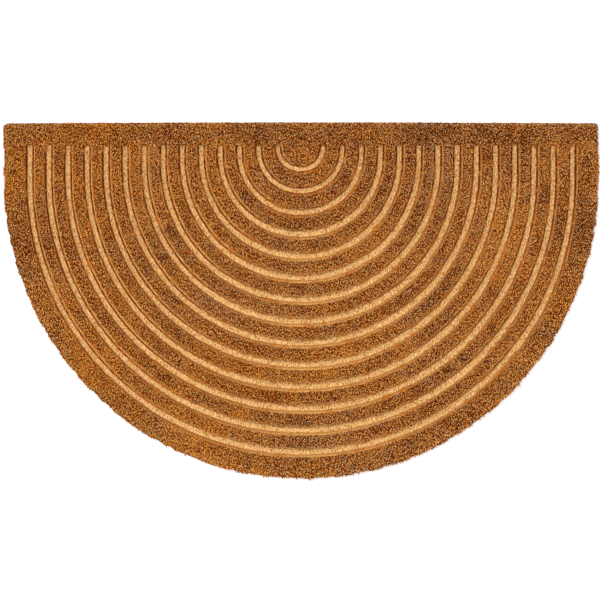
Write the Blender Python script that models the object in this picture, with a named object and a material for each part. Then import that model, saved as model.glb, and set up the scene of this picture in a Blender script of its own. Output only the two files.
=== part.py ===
"""Half-round coir doormat: one flat mat of cut pile with nested arcs pressed into its top.

The mat lies flat with its underside at Z = 0. Its straight edge is at the back, at +Y, and its
round edge at the front. Everything is in metres.
"""

import math

import bmesh
import bpy
from mathutils import Vector

# The mat's outline: a half disc with short straight sides up to a straight back edge.
MAT_WIDTH = 0.750
MAT_DEPTH = 0.450
CORNER_RADIUS = 0.005

# Its height, from the underside to the tips of the pile.
MAT_THICKNESS = 0.015
RIM_ROUNDING = 0.0015
RIM_STEPS = 2

# The pressed grooves. Each is a U: an arc with two straight legs that end at the plain band.
GROOVE_COUNT = 14
INNERMOST_RADIUS = 0.0285
RADIUS_STEP = 0.02413
INNERMOST_DROP = 0.0295
DROP_STEP = 0.00333
BAND_WIDTH = 0.0265

# A groove's section: a flat floor between two sloping walls. Its ends slope too.
GROOVE_DEPTH = 0.007
FLOOR_WIDTH = 0.0068
MOUTH_WIDTH = 0.0134
END_SLOPE_RUN = 0.0025

CUTTER_HEADROOM = 0.002
ARC_SAG = 0.00012
LEVEL_NORMAL = 0.99

BACK_EDGE = MAT_DEPTH / 2
OUTLINE_RADIUS = MAT_WIDTH / 2
COIR_BROWN = (0.31, 0.11, 0.025, 1.0)


def new_collection(name):
    collection = bpy.data.collections.new(name)
    bpy.context.scene.collection.children.link(collection)
    return collection


def clear_scene():
    for obj in list(bpy.data.objects):
        bpy.data.objects.remove(obj)


def arc_steps(radius, angle):
    """How many straight segments keep an arc within ARC_SAG of its true round, as an even number."""
    half_steps = math.ceil(angle / (4 * math.acos(1 - ARC_SAG / radius)))
    return 2 * max(2, half_steps)


def arc_points(centre, radius, start, end):
    """Points along an arc in the XY plane, both ends included."""
    steps = arc_steps(radius, abs(end - start))
    angles = [start + (end - start) * i / steps for i in range(steps + 1)]
    return [centre + radius * Vector((math.cos(a), math.sin(a))) for a in angles]


def smooth_upright_faces(bm):
    """Shades the round walls smooth and leaves the level faces flat, so their edges stay crisp."""
    for face in bm.faces:
        face.smooth = abs(face.normal.z) < LEVEL_NORMAL


def outline_points():
    """The mat's outline, anticlockwise from the left end of its round edge."""
    round_edge = arc_points(
        Vector((0, BACK_EDGE - (MAT_DEPTH - OUTLINE_RADIUS))), OUTLINE_RADIUS, -math.pi, 0
    )
    corner_x = OUTLINE_RADIUS - CORNER_RADIUS
    corner_y = BACK_EDGE - CORNER_RADIUS
    right = arc_points(Vector((corner_x, corner_y)), CORNER_RADIUS, 0, math.pi / 2)
    left = arc_points(Vector((-corner_x, corner_y)), CORNER_RADIUS, math.pi / 2, math.pi)
    return round_edge + right + left


def flat_outline(name, points, thickness):
    """A 2D curve through the points, filled and extruded up from Z = 0."""
    data = bpy.data.curves.new(name, "CURVE")
    data.dimensions = "2D"
    data.fill_mode = "BOTH"
    data.extrude = thickness / 2
    spline = data.splines.new("POLY")
    spline.points.add(len(points) - 1)
    for spline_point, place in zip(spline.points, points):
        spline_point.co = (place.x, place.y, 0, 1)
    spline.use_cyclic_u = True
    obj = bpy.data.objects.new(name, data)
    obj.location.z = thickness / 2
    return obj


def mesh_from_curve(curve_object, name, collection):
    """The curve as a closed mesh object in the collection. The curve is removed."""
    collection.objects.link(curve_object)
    bpy.context.view_layer.update()
    graph = bpy.context.evaluated_depsgraph_get()
    mesh = bpy.data.meshes.new_from_object(curve_object.evaluated_get(graph))
    bm = bmesh.new()
    bm.from_mesh(mesh)
    bmesh.ops.remove_doubles(bm, verts=bm.verts, dist=1e-6)
    bmesh.ops.transform(bm, matrix=curve_object.matrix_world, verts=bm.verts)
    bmesh.ops.dissolve_limit(bm, angle_limit=math.radians(0.1), verts=bm.verts, edges=bm.edges)
    bm.to_mesh(mesh)
    bm.free()
    bpy.data.objects.remove(curve_object)
    mesh.name = name
    obj = bpy.data.objects.new(name, mesh)
    collection.objects.link(obj)
    return obj


def round_top_rim(obj):
    """Rounds the edge between the mat's top and its side."""
    bm = bmesh.new()
    bm.from_mesh(obj.data)
    rim = [
        edge
        for edge in bm.edges
        if all(vert.co.z > MAT_THICKNESS / 2 for vert in edge.verts)
        and edge.calc_face_angle(0) > math.radians(45)
    ]
    bmesh.ops.bevel(
        bm,
        geom=rim,
        offset=RIM_ROUNDING,
        offset_type="OFFSET",
        segments=RIM_STEPS,
        profile=0.5,
        affect="EDGES",
        clamp_overlap=True,
    )
    bm.normal_update()
    smooth_upright_faces(bm)
    bm.to_mesh(obj.data)
    bm.free()


def groove_width(height):
    """How wide a groove is at this height above the underside."""
    floor = MAT_THICKNESS - GROOVE_DEPTH
    return FLOOR_WIDTH + (MOUTH_WIDTH - FLOOR_WIDTH) * (height - floor) / GROOVE_DEPTH


def groove_end(height):
    """The Y at which every groove ends, at this height above the underside."""
    floor = MAT_THICKNESS - GROOVE_DEPTH
    return BACK_EDGE - BAND_WIDTH - END_SLOPE_RUN * (1 - (height - floor) / GROOVE_DEPTH)


def extend_leg(bm, ring):
    """Extrudes one open end of a groove's arc straight back to where the groove ends, and caps it."""
    grown = bmesh.ops.extrude_edge_only(bm, edges=ring)["geom"]
    for vert in (item for item in grown if isinstance(item, bmesh.types.BMVert)):
        vert.co.y = groove_end(vert.co.z)
    end_edges = [item for item in grown if isinstance(item, bmesh.types.BMEdge)]
    return bmesh.ops.contextual_create(bm, geom=end_edges)["faces"]


def groove_cutter(index, collection):
    """What one groove takes out of the mat, as a closed tube of the groove's section."""
    radius = INNERMOST_RADIUS + RADIUS_STEP * index
    centre = Vector((0, BACK_EDGE - INNERMOST_DROP - DROP_STEP * index, 0))
    heights = (MAT_THICKNESS - GROOVE_DEPTH, MAT_THICKNESS + CUTTER_HEADROOM)
    bm = bmesh.new()
    corners = [
        bm.verts.new(centre + Vector((radius + side * groove_width(z) / 2, 0, z)))
        for side, z in zip((-1, 1, 1, -1), (heights[0], heights[0], heights[1], heights[1]))
    ]
    ring = [bm.edges.new((corners[i - 1], corners[i])) for i in range(len(corners))]
    swept = bmesh.ops.spin(
        bm,
        geom=corners + ring,
        cent=centre,
        axis=(0, 0, 1),
        angle=-math.pi,
        steps=arc_steps(radius, math.pi),
    )["geom_last"]
    caps = extend_leg(bm, ring)
    caps += extend_leg(bm, [item for item in swept if isinstance(item, bmesh.types.BMEdge)])
    bmesh.ops.recalc_face_normals(bm, faces=bm.faces)
    smooth_upright_faces(bm)
    for cap in caps:
        cap.smooth = False
    name = f"groove_cutter_{index:02d}"
    mesh = bpy.data.meshes.new(name)
    bm.to_mesh(mesh)
    bm.free()
    obj = bpy.data.objects.new(name, mesh)
    obj.hide_render = True
    obj.display_type = "WIRE"
    collection.objects.link(obj)
    return obj


def coir_material():
    material = bpy.data.materials.new("coir")
    material.use_nodes = True
    shader = material.node_tree.nodes["Principled BSDF"]
    shader.inputs["Base Color"].default_value = COIR_BROWN
    shader.inputs["Roughness"].default_value = 0.9
    shader.inputs["Metallic"].default_value = 0.0
    return material


def build_mat(collection, cutter_collection):
    outline = flat_outline("mat_outline", outline_points(), MAT_THICKNESS)
    mat = mesh_from_curve(outline, "mat", collection)
    round_top_rim(mat)
    mat.data.materials.append(coir_material())
    for index in range(GROOVE_COUNT):
        cutter = groove_cutter(index, cutter_collection)
        cut = mat.modifiers.new(f"groove_{index:02d}", "BOOLEAN")
        cut.operation = "DIFFERENCE"
        cut.solver = "EXACT"
        cut.object = cutter
    return mat


clear_scene()
build_mat(new_collection("half_round_coir_doormat"), new_collection("cutters"))
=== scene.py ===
"""Half-round coir doormat: the finished pile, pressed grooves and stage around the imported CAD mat.

Laid out as an add-on. Run as a script it builds every piece in order.
"""

import math

import bmesh
import bpy
import numpy as np
from bpy.props import FloatProperty, FloatVectorProperty, IntProperty, PointerProperty
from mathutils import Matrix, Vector


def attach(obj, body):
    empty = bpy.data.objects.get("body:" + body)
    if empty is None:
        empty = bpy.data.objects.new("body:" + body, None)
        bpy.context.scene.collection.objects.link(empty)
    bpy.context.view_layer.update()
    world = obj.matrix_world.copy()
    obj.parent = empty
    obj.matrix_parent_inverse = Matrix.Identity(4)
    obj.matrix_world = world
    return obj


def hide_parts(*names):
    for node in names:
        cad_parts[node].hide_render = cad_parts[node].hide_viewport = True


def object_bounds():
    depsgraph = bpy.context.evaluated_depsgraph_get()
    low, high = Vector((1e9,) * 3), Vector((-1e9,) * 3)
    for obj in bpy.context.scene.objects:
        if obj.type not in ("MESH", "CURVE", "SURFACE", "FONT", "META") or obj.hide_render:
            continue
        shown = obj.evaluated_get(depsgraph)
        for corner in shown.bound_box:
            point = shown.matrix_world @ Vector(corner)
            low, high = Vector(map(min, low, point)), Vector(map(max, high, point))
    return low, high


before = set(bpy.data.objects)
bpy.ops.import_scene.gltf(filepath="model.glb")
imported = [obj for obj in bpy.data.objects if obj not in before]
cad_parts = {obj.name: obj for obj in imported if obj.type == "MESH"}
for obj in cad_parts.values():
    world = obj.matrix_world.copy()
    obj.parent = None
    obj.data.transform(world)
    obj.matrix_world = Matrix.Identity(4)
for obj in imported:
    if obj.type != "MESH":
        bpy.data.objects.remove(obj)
CAD_LOW, CAD_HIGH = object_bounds()
CAD_SIZE = CAD_HIGH - CAD_LOW

bl_info = {
    "name": "Half-round coir doormat",
    "version": (1, 0, 0),
    "blender": (4, 5, 0),
    "location": "3D View > Sidebar > Doormat",
    "description": "Builds a half-round coir doormat with nested arcs pressed into its pile",
    "category": "Object",
}

MM = 0.001
TINY = 1e-9

# The ground's height across a groove, by the distance from the edge of the pressed floor:
# a slope with a creased foot, and one that rises straight off the floor.
PROFILE_DISTANCE = np.array([-0.4, 0.15, 0.7, 1.4, 2.2, 3.2, 5.1, 6.6]) * MM
CREASED_HEIGHT = np.array([8.0, 6.6, 6.9, 9.6, 12.2, 13.5, 12.6, 12.0]) * MM
OPEN_HEIGHT = np.array([8.0, 8.3, 9.3, 10.8, 12.3, 13.5, 12.6, 12.0]) * MM
# The ground's greatest height, by the distance inside the outline.
EDGE_DISTANCE = np.array([1.0, 2.2, 5.0]) * MM
EDGE_HEIGHT = np.array([10.0, 11.6, 14.5]) * MM
# The height of the pile's tips, by the distance from a pressed floor and by that inside the outline.
TIP_DISTANCE = np.array([0.5, 1.6, 3.0]) * MM
TIP_HEIGHT = np.array([11.5, 14.2, 15.0]) * MM
RIM_DISTANCE = np.array([0.5, 3.0]) * MM
RIM_HEIGHT = np.array([14.0, 15.0]) * MM
# The line on which fibres dragged over a ridge's edge lie, by the distance from a pressed floor.
DRAG_DISTANCE = np.array([0.0, 1.6, 3.4]) * MM
DRAG_HEIGHT = np.array([8.7, 12.6, 15.2]) * MM
# The heights at which the pressed fibres and the loose ones lie.
PRESSED_HEIGHT = 7.95 * MM
LOOSE_HEIGHT = 15.2 * MM

# How the grooves' edges differ with the bearing in which a slope rises off the floor, in steps of
# 45 degrees from 0, to the right, through 90, to the back. The pile's nap hangs over some slopes
# and lies back from others. In turn: how far off the floor the pile starts; how creased the slope's
# foot is, which also sets the painted shade in its crevice; how combed the slope is, which also
# paints it lighter where it faces the light and darker where it is in shade; how far the floor
# reaches up it; how much painted shade darkens the pile's rim where it overhangs the slope; and how
# much a painted highlight lightens the pile at its rim.
PILE_START = np.array([2.2, 3.1, 1.9, 3.0, 2.7, 2.2, 2.45, 3.3, 2.2]) * MM
CREASE_AND_SHADE = np.array([1.0, 0.85, 0.0, 0.6, 0.96, 0.45, 0.15, 0.2, 1.0])
COMBED_AND_LIT = np.array([0.9, 1.0, 1.0, 0.7, 0.1, 0.3, 0.9, 0.5, 0.9])
FLOOR_REACH = np.array([0.2, 0.0, 2.9, 0.65, 0.9, 0.95, -0.8, 1.4, 0.2]) * MM
OVERHANG_SHADE = np.array([0, 0, 0, 0.5, 0.8, 0.5, 0, 0, 0])
CREST_HIGHLIGHT = np.array([0.2, 0.17, 0.0, 0.06, 0.24, 0.22, 0.0, 0.15, 0.2])
# At the grooves' ends, by the straight edge, the first two are the same all round.
END_PILE_START = 1.1 * MM
END_CREASE_AND_SHADE = 0.5

# The ground's rows: how far off a groove's centre line, and at which shares of the way across a
# ridge, from the arcs' middle to the first groove and from the last groove to the edge. Its
# columns: how far down the straight legs, at which shares of the rest of them, and round an arc.
GROOVE_ROWS = np.array([0.0, 1.4, 2.55, 3.1, 3.65, 4.35, 5.15, 6.2, 8.3]) * MM
RIDGE_SHARES = (0.33, 0.67)
INNER_SHARES = (0.0, 0.18, 0.36, 0.54, 0.72, 0.87)
BORDER_SHARES = (0.12, 0.24, 0.38, 0.52, 0.66, 0.79, 0.9, 0.965, 1.0)
LEG_STATIONS = MM * np.array(
    [0.0, 1.2, 5.0, 11.0, 17.0, 21.5, 24.0, 25.2, 26.1, 27.0, 27.8, 28.5, 28.9, 29.2]
)
LEG_SHARES = (0.12, 0.25, 0.38, 0.5, 0.62, 0.75, 0.88)
ARC_SEGMENTS = 136
# The ground's rim lies this far inside the true outline, and the foot of its side this high. Then
# how far inside the outline the underside's coat lies, and how thick it is.
GROUND_INSET = 1.0 * MM
SIDE_FOOT = 0.6 * MM
UNDERSIDE_INSET = 0.6 * MM
UNDERSIDE_THICKNESS = 0.7 * MM

# The pile's nap: how far a fibre's tip lies off its root, for its height, and the share of that by
# which its root is set back.
NAP = np.array([0.12, -0.30, 0.0])
SET_BACK = 0.45
# How much of its loose lean a fibre has across the mat and along it, how much more a thin fibre
# leans than a tuft, how much a clump leans each way, and how much the outermost fibres lean out.
LOOSE_LEAN = (0.6, 1.3)
THIN_LEAN = 2.2
CLUMP_LEAN = (0.14, 0.24)
FRINGE_LEAN = 0.22
FRINGE_DISTANCE = np.array([1.0, 4.0]) * MM
# How far inside the outline the pile starts, how deep its roots stand in the ground, how much
# its tufts differ in height, and how short a fibre may be.
PILE_INSET = 1.1 * MM
ROOT_DEPTH = 1.0 * MM
TUFT_RISE = 0.6 * MM
SHORTEST_FIBRE = 1.2 * MM
# How light the pile is, how much its tufts differ in that and its clumps in hue, the share of
# the thin fibres that are pale, and how much lighter and darker a fibre's corners may be.
PILE_LIGHTNESS = 0.65
TUFT_CONTRAST = 0.78
CLUMP_CONTRAST = 0.19
PALE_SHARE = 0.4
CORNER_TONE = 0.05
CORNER_HUE = 0.04
# How much the corners of a tuft's top differ in height, in millimetres.
SPLAY = 0.55
# How far from the outline the fibres on the slopes stop.
GROOVE_MARGIN = 4 * MM
# The tufts stand closer across the mat than along it, and are narrower across by as much.
NARROWING = 0.85
# How far past the mat's box fibres are scattered before those outside the mat are dropped.
SCATTER_MARGIN = 2 * MM
# How far the innermost and the outermost arc lie off the mat's middle line.
CENTRE_SHIFTS = (-0.7 * MM, 0.4 * MM)
# How much farther from the straight edge a groove may end, at the least and at the most.
END_SHIFTS = (-0.7 * MM, 1.3 * MM)
# How far the hand-cut round edge lies inside its true half circle, from the right end round to
# the left one, and the straight edge at its ends.
ROUND_PULL = np.array([0.0, 0.0, 0.0, 0.1, 0.8, 1.2, 2.1, 1.6, 0.0]) * MM
STRAIGHT_PULL = 1.2 * MM
# The height and the usual length of the small steps in the hand-cut round edge.
CUT_STEP = 1.2 * MM
CUT_LENGTH = 9 * MM

# Small worn or soiled places in the pile: where each is and how large, in millimetres, and how
# much lighter it is, or darker below zero.
WORN_PLACES = (
    (363, 194, 8, 0.22),
    (185, -165, 4, 0.30),
    (-154, -116, 4, 0.25),
    (314, -37, 4, 0.22),
    (185, -145, 3.2, -0.42),
    (-129, -87, 4, -0.25),
    (86, -87, 3.5, -0.22),
    (-112, -38, 4, -0.20),
)

# Unevenness in layers, each with its strength and the width of its lumps in millimetres.
GROOVE_WANDER = ((0.30 * MM, 6), (0.20 * MM, 21))
OUTLINE_WANDER = ((0.85 * MM, 5), (0.5 * MM, 24))
TONE_LAYERS = ((0.09, 62), (0.10, 24), (0.12, 9), (0.10, 4))
HUE_LAYERS = ((0.28, 85), (0.18, 31), (0.11, 11))
SOIL_LAYERS = ((1.0, 14), (0.4, 5))
SMEAR_LAYERS = ((1.0, 7), (0.5, 40))
RAGGED_EDGE = ((0.4 * MM, 4),)
TIP_LUMPS = ((0.3 * MM, 5),)
# The same for the ground's height, one layer each on the floors, in the pile and on the slopes.
FLOOR_LUMPS = ((0.16 * MM, 3.1),)
PILE_LUMPS = ((0.5 * MM, 4.3),)
SLOPE_LUMPS = ((0.35 * MM, 5.2),)

# How far above the pile's seed each kind of unevenness and each group of fibres has its own.
WANDER_SEED = 2
FLOOR_LUMP_SEED = 5
PILE_LUMP_SEED = 6
SLOPE_LUMP_SEED = 7
CREASE_SEED = 8
TONE_SEED = 11
SOIL_SEED = 15
HUE_SEED = 21
OUTLINE_SEED = 31
TIP_SEED = 43
CLUMP_SEED = 44
RAGGED_SEED = 46
SMEAR_SEED = 51
GROOVES_SEED = 100
SIDES_SEED = 200
STRAYS_SEED = 300
# Seeds of the plan, which stays the same when the pile's seed changes.
END_SEED = 7
CUT_SEED = 61

# How many lumps of an unevenness, and how many clumps, stand in a row before they repeat.
LATTICE = 512
CLUMP_LATTICE = 1024
# The width of the small clumps of tufts that lean and are coloured alike.
CLUMP_SIZE = 2.6 * MM

# Distances between the fibres of each kind, and how much farther apart the pile's thin fibres
# stand than its tufts.
COMBED_SPACING = 1.6 * MM
SMEARED_SPACING = 0.9 * MM
PRESSED_SPACING = 2.3 * MM
SIDE_SPACING = 0.48 * MM
THIN_SPREAD = 1.6
# Ranges, in millimetres: how far the combed, smeared and pressed fibres run, how long the hairs,
# side fibres and loose fibres are, how wide or thick each kind is, and how far up and out the
# fibres at the side and at the edge begin and reach.
COMBED_RUN = (1.5, 4.0)
SMEARED_RUN = (1.2, 2.8)
PRESSED_RUN = (2.0, 5.5)
HAIR_LENGTH = (4.0, 9.0)
SIDE_LENGTH = (3.5, 7.0)
LOOSE_LENGTH = (5, 17)
COMBED_WIDTH = (0.45, 0.95)
SMEARED_WIDTH = (0.5, 1.0)
SIDE_WIDTH = (0.55, 1.1)
STRAY_RADIUS = (0.13, 0.23)
SIDE_FEET = (0.6, 10.5)
EDGE_FEET = (9, 13.2)
EDGE_REACH = (0.6, 2.6)
EDGE_RISE = (-1.5, 1.5)
# How near to the floor a combed fibre's tip may come, by how creased the slope's foot is.
TIP_CREASE = (0.0, 0.4, 1.0)
NEAREST_TIP = np.array([-0.8, 0.4, 1.3]) * MM
# The share of the pressed fibres that are dark, the share that are long hairs, and the share of
# the stray fibres that are pale.
DARK_SHARE = 0.35
HAIR_SHARE = 0.03
PALE_STRAYS = 0.68
# Rings at which a loose fibre bends, the points tried for those at the mat's edge, and how many of
# the others there are for each of those.
STRAY_RINGS = 5
EDGE_TRIES = 9000
STRAYS_FOR_EDGE = 8

# The ground's flat map: how wide the top lies in it and how high it reaches, then where the
# underside and the side strip lie and how large they are.
MAP_WIDTH = 0.96
MAP_TOP = 0.985
MAP_UNDERSIDE = 0.15
MAP_UNDERSIDE_SIZE = (0.5, 0.45)
MAP_SIDE = 0.32
MAP_SIDE_SIZE = (0.48, 2.5)

# The pile is split so that each piece stays small. The ridges go by the groove nearest to them.
RIDGE_PARTS = {
    "pile_outer_ridges": (11, 14),
    "pile_middle_ridges": (8, 10),
    "pile_inner_ridges": (0, 7),
}

# The stage: each light's name and strength, and its spread, bearing and height in degrees.
LIGHTS = (
    ("top_light", 1.9, 60, 150, 80),
    ("left_light", 1.2, 30, 165, 45),
    ("right_light", 0.5, 30, 8, 45),
)
# The strength of the light from all round, of the backdrop and of the floor's own glow.
AMBIENT_STRENGTH = 0.4
BACKDROP_STRENGTH = 0.97
FLOOR_GLOW = 0.3
WHITE = (1, 1, 1, 1)
# Half the studio floor's width, and the camera's lens, range and place.
STUDIO_REACH = 12
CAMERA_LENS = 190.5
CAMERA_RANGE = 30
CAMERA_PLACE = (-0.00126, 0.0011, 4.0 + 0.015)


# Sizes and colours a user may change.


def length_property(name, description, default):
    """A length in metres."""
    return FloatProperty(name=name, description=description, default=default, unit="LENGTH")


def colour_property(name, description, red, green, blue):
    """An opaque colour."""
    return FloatVectorProperty(
        name=name,
        description=description,
        default=(red, green, blue, 1.0),
        subtype="COLOR",
        size=4,
        min=0,
        max=1,
    )


class DoormatSizes(bpy.types.PropertyGroup):
    """Sizes of the mat and of the grooves pressed into it."""

    width: length_property("Width", "Length of the mat's straight back edge", CAD_SIZE.x)
    depth: length_property("Depth", "From the straight edge to the front of the round edge", CAD_SIZE.y)
    corner_radius: length_property("Corner radius", "Rounding of the two back corners", 5 * MM)
    groove_count: IntProperty(
        name="Grooves",
        description="How many nested arcs are pressed into the pile",
        default=14,
        min=1,
        max=15,
    )
    first_radius: length_property("First radius", "Radius of the innermost groove's line", 28.5 * MM)
    radius_step: length_property("Radius step", "How much wider each groove is than the last", 24.13 * MM)
    first_drop: length_property("First drop", "From the back edge to the innermost centre", 30.8 * MM)
    drop_step: length_property("Drop step", "How much lower each centre is than the last", 3.33 * MM)
    floor_width: length_property("Groove floor width", "Width of a groove's pressed floor", 5.9 * MM)
    groove_start: length_property("Groove start", "From the back edge to the pressed floors", 29 * MM)


class DoormatPile(bpy.types.PropertyGroup):
    """How the coir fibres stand."""

    spacing: length_property("Fibre spacing", "Mean distance between the pile's tufts", 1.21 * MM)
    width: length_property("Fibre width", "Width of a thin fibre at its foot", 0.6 * MM)
    tuft: length_property("Tuft width", "Width of a tuft at its splayed top", 1.35 * MM)
    lean: FloatProperty(
        name="Lean",
        description="How far from upright the loose fibres lean",
        default=math.radians(12),
        subtype="ANGLE",
    )
    stray_count: IntProperty(
        name="Stray fibres",
        description="How many long loose fibres lie over the pile",
        default=400,
        min=0,
    )
    seed: IntProperty(
        name="Seed",
        description="Start of the random placing of the fibres",
        default=41,
    )


class DoormatColours(bpy.types.PropertyGroup):
    """Colours of the coir, of the underside and of the floor the mat lies on."""

    shadow: colour_property("Deep pile", "Darkest fibres, deep in the pile", 0.044, 0.0052, 0.0002)
    dark: colour_property("Dark fibre", "Dark reddish-brown fibres", 0.26, 0.050, 0.0016)
    middle: colour_property("Middle fibre", "The pile's usual brown", 0.59, 0.163, 0.009)
    light: colour_property("Light fibre", "Light golden-brown fibres", 0.78, 0.30, 0.053)
    pale: colour_property("Pale fibre", "The palest cut tips", 0.89, 0.56, 0.275)
    pressed: colour_property("Pressed coir", "Floors of the grooves", 0.72, 0.405, 0.130)
    # The shoulder colour is combed coir; shown by bearing, it also stands for a lit slope, as painted
    # light.
    shoulder: colour_property("Groove shoulder", "Combed slopes beside a groove", 0.72, 0.36, 0.095)
    # The crease and crevice colours are painted shade at the creased foot of a slope.
    crease_and_shade: colour_property("Crease", "Warm brown on both sides of the crevice", 0.50, 0.125, 0.004)
    crevice: colour_property("Crevice", "Dark line at the foot of a slope", 0.12, 0.0160, 0.0001)
    underside: colour_property("Underside", "The plain coat under the mat", 0.12, 0.075, 0.045)
    floor: colour_property("Studio floor", "The pale floor the mat lies on", 0.86, 0.86, 0.86)


class DoormatSettings(bpy.types.PropertyGroup):
    """Everything the doormat is built from."""

    sizes: PointerProperty(type=DoormatSizes)
    pile: PointerProperty(type=DoormatPile)
    colours: PointerProperty(type=DoormatColours)


# The plan: where the grooves and the outline run.


def smooth_noise(x, y, wavelength, seed):
    """Smooth random values from -1 to 1 over the plane, with lumps about one wavelength across."""
    lattice = np.random.default_rng(seed).uniform(-1, 1, (LATTICE, LATTICE))
    u = x / wavelength + LATTICE / 2
    v = y / wavelength + LATTICE / 2
    column = np.floor(u).astype(int)
    row = np.floor(v).astype(int)
    fu = u - column
    fv = v - row
    fu = fu * fu * (3 - 2 * fu)
    fv = fv * fv * (3 - 2 * fv)
    left, right = column % LATTICE, (column + 1) % LATTICE
    low, high = row % LATTICE, (row + 1) % LATTICE
    lower = lattice[low, left] * (1 - fu) + lattice[low, right] * fu
    upper = lattice[high, left] * (1 - fu) + lattice[high, right] * fu
    return lower * (1 - fv) + upper * fv


def layered_noise(x, y, layers, seed):
    """Smooth noises added up, each with its strength and the width of its lumps in millimetres."""
    return sum(
        strength * smooth_noise(x, y, width * MM, seed + step)
        for step, (strength, width) in enumerate(layers)
    )


def clump_values(x, y, seed):
    """Three random values from -1 to 1, each the same all over each small uneven clump."""
    lattice = np.random.default_rng(seed).uniform(-1, 1, (3, CLUMP_LATTICE, CLUMP_LATTICE))
    u = x / CLUMP_SIZE + 0.5 * smooth_noise(x, y, 1.6 * CLUMP_SIZE, seed + 1) + CLUMP_LATTICE / 2
    v = y / CLUMP_SIZE + 0.5 * smooth_noise(x, y, 1.6 * CLUMP_SIZE, seed + 2) + CLUMP_LATTICE / 2
    return lattice[:, np.floor(v).astype(int) % CLUMP_LATTICE, np.floor(u).astype(int) % CLUMP_LATTICE]


def smooth_step(value, low, high):
    """0 below low, 1 above high, and a smooth rise between."""
    share = np.clip((value - low) / (high - low), 0, 1)
    return share * share * (3 - 2 * share)


def groove_lines(sizes):
    """Radius, drop and sideways place of each groove's centre line, from the inside out."""
    index = np.arange(sizes.groove_count)
    radii = sizes.first_radius + sizes.radius_step * index
    return radii, sizes.first_drop + sizes.drop_step * index, np.linspace(*CENTRE_SHIFTS, len(index))


def groove_distance(x, y, sizes):
    """For each point: distance from the edge of the nearest pressed floor, the way off it, and which."""
    radii, drops, centres = groove_lines(sizes)
    ends = np.random.default_rng(END_SEED).uniform(*END_SHIFTS, (2, sizes.groove_count))
    back = CAD_HIGH.y
    x = x[:, None] - centres[None, :]
    below = y[:, None] - (back - drops[None, :])
    reach = np.where(below > 0, np.abs(x), np.hypot(x, below))
    offset = reach - radii[None, :]
    nearest = np.abs(offset).argmin(axis=1)
    rows = np.arange(len(x))
    x = x[rows, nearest]
    offset = offset[rows, nearest]
    below = np.minimum(below[rows, nearest], 0)
    length = np.maximum(np.hypot(x, below), TINY)
    side = np.where(offset < 0, -1.0, 1.0)
    away_x = side * x / length
    away_y = side * below / length
    across = np.abs(offset) - sizes.floor_width / 2
    before = sizes.groove_start + ends[(x > 0).astype(int), nearest] - (back - y)
    distance = np.where(before > 0, np.hypot(np.maximum(across, 0), before), across)
    toward_back = np.where((before > 0) & (distance > 0), before / np.maximum(distance, TINY), 0)
    sideways = np.sqrt(np.maximum(0, 1 - toward_back**2))
    return distance, away_x * sideways, away_y * sideways + toward_back, nearest


def by_bearing(values, away_x, away_y):
    """A value for each point by the bearing of its slope, from values at steps of 45 degrees."""
    bearing = np.degrees(np.arctan2(away_y, away_x)) % 360
    return np.interp(bearing, np.linspace(0, 360, len(values)), values)


def behind_grooves(y, sizes):
    """Whether each point is in the band along the straight edge, where the grooves have ended."""
    return CAD_HIGH.y - y < sizes.groove_start


def slope_traits(x, y, away_x, away_y, nearest, sizes):
    """Where the pile starts on a slope, how creased its foot is, which also sets its painted shade, and
    how combed it is, which also paints it lighter where lit and darker in shade.
    """
    middle = 1 - smooth_step(nearest, 0, 5)
    start = by_bearing(PILE_START, away_x, away_y) * (1 - 0.2 * middle)
    crease_and_shade = np.maximum(by_bearing(CREASE_AND_SHADE, away_x, away_y), 0.8 * middle)
    combed = by_bearing(COMBED_AND_LIT, away_x, away_y) * (1 - 0.5 * middle)
    # Slopes that rise to the right show less combed colour towards the mat's right end: painted shade, as
    # the light comes from the left.
    combed = combed * (1 - 0.4 * np.clip(away_x, 0, 1) * smooth_step(x, 60 * MM, 260 * MM))
    at_end = behind_grooves(y, sizes)
    return (
        np.where(at_end, END_PILE_START, start),
        np.where(at_end, END_CREASE_AND_SHADE, crease_and_shade),
        np.where(at_end, 0, combed),
    )


def true_outline(x, y, sizes):
    """For each point: how far inside the mat's true outline it is, and the way out."""
    radius = sizes.width / 2
    back = CAD_HIGH.y
    below = np.minimum(y - (CAD_LOW.y + radius), 0)
    reach = np.maximum(np.hypot(x, below), TINY)
    inside = radius - reach
    out_x = x / reach
    out_y = below / reach
    from_back = back - y
    nearer = from_back < inside
    inside = np.where(nearer, from_back, inside)
    out_x = np.where(nearer, 0, out_x)
    out_y = np.where(nearer, 1, out_y)
    corner = sizes.corner_radius
    corner_x = np.abs(x) - (radius - corner)
    corner_y = y - (back - corner)
    in_corner = (corner_x > 0) & (corner_y > 0)
    corner_reach = np.maximum(np.hypot(corner_x, corner_y), TINY)
    inside = np.where(in_corner, corner - corner_reach, inside)
    out_x = np.where(in_corner, np.sign(x) * corner_x / corner_reach, out_x)
    out_y = np.where(in_corner, corner_y / corner_reach, out_y)
    return inside, out_x, out_y


def outline_pull(x, y, out_y, sizes):
    """How far the cut edge nearest each point lies inside its true line."""
    bearing = np.degrees(np.arctan2(-(y - CAD_LOW.y - sizes.width / 2), x))
    round_pull = np.interp(bearing, np.linspace(0, 180, len(ROUND_PULL)), ROUND_PULL)
    straight_pull = STRAIGHT_PULL * ((2 * x / sizes.width) ** 2 - 0.3)
    steps = 2 * smooth_step(smooth_noise(x, y, CUT_LENGTH, CUT_SEED), -0.12, 0.12) - 1
    return np.where(out_y > 0.5, straight_pull, round_pull + CUT_STEP / 2 * steps)


def outline_distance(x, y, sizes):
    """For each point: how far inside the mat's cut outline it is, and the way out."""
    inside, out_x, out_y = true_outline(x, y, sizes)
    return inside - outline_pull(x, y, out_y, sizes), out_x, out_y


def groove_wander(x, y, seed):
    """How far the edge of a groove strays from its true line here."""
    return layered_noise(x, y, GROOVE_WANDER, seed + WANDER_SEED)


# Meshes.


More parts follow.
